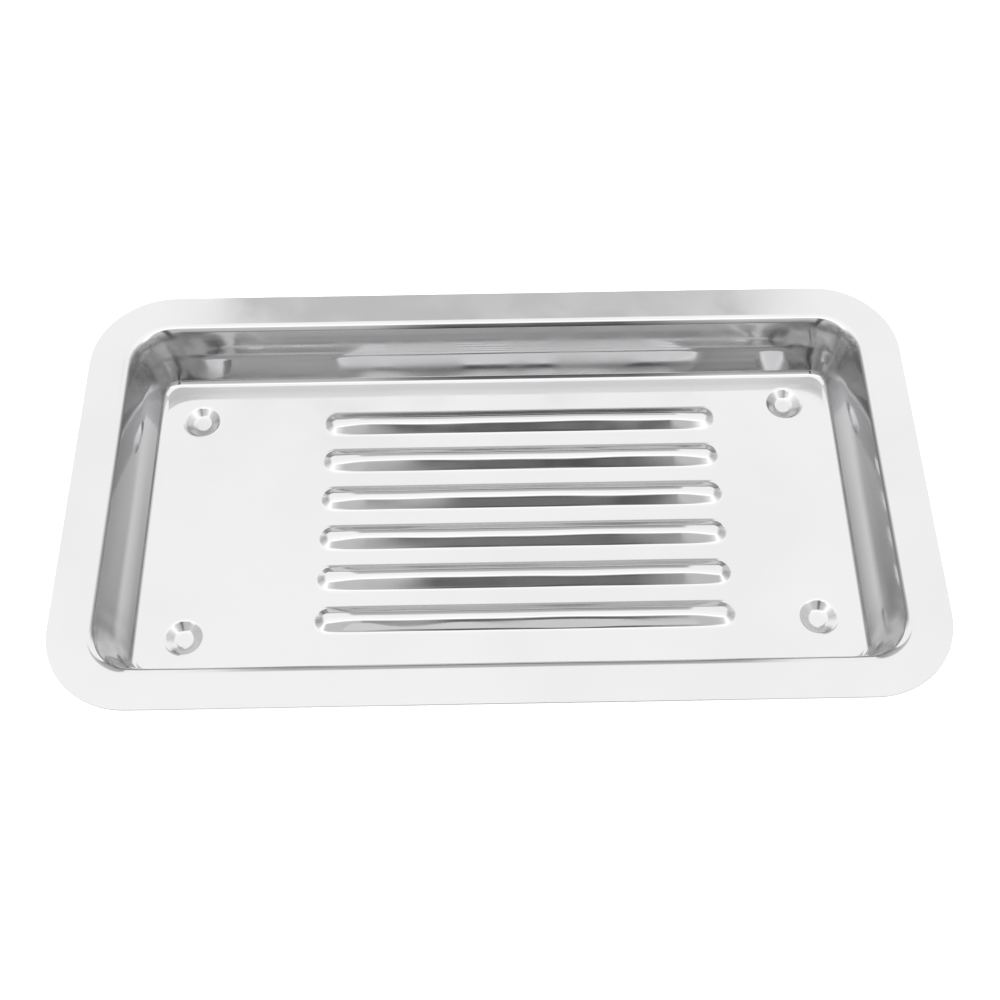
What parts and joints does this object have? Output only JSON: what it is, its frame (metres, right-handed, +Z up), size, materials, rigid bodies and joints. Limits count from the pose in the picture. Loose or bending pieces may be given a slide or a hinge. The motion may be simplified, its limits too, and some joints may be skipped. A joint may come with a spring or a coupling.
{
  "type": "pressed instrument tray",
  "caption": "Shallow pressed steel tray with a flat rim, sloping walls, raised ribs across the floor and dimpled feet, for laying out small instruments or counted items.",
  "frame": {"origin": "middle of the tray's outline, on the surface that the feet rest on", "axes": "+X along the tray and its ribs, to the end that the ribs sit nearer; +Y across the tray; +Z up, out of the tray"},
  "size_m": [0.225, 0.126, 0.02],
  "materials": {
    "polished_steel": "mirror-polished stainless steel sheet, faintly uneven from pressing"
  },
  "bodies": {
    "root": {"pressed_tray": "polished_steel"}
  },
  "joints": []
}
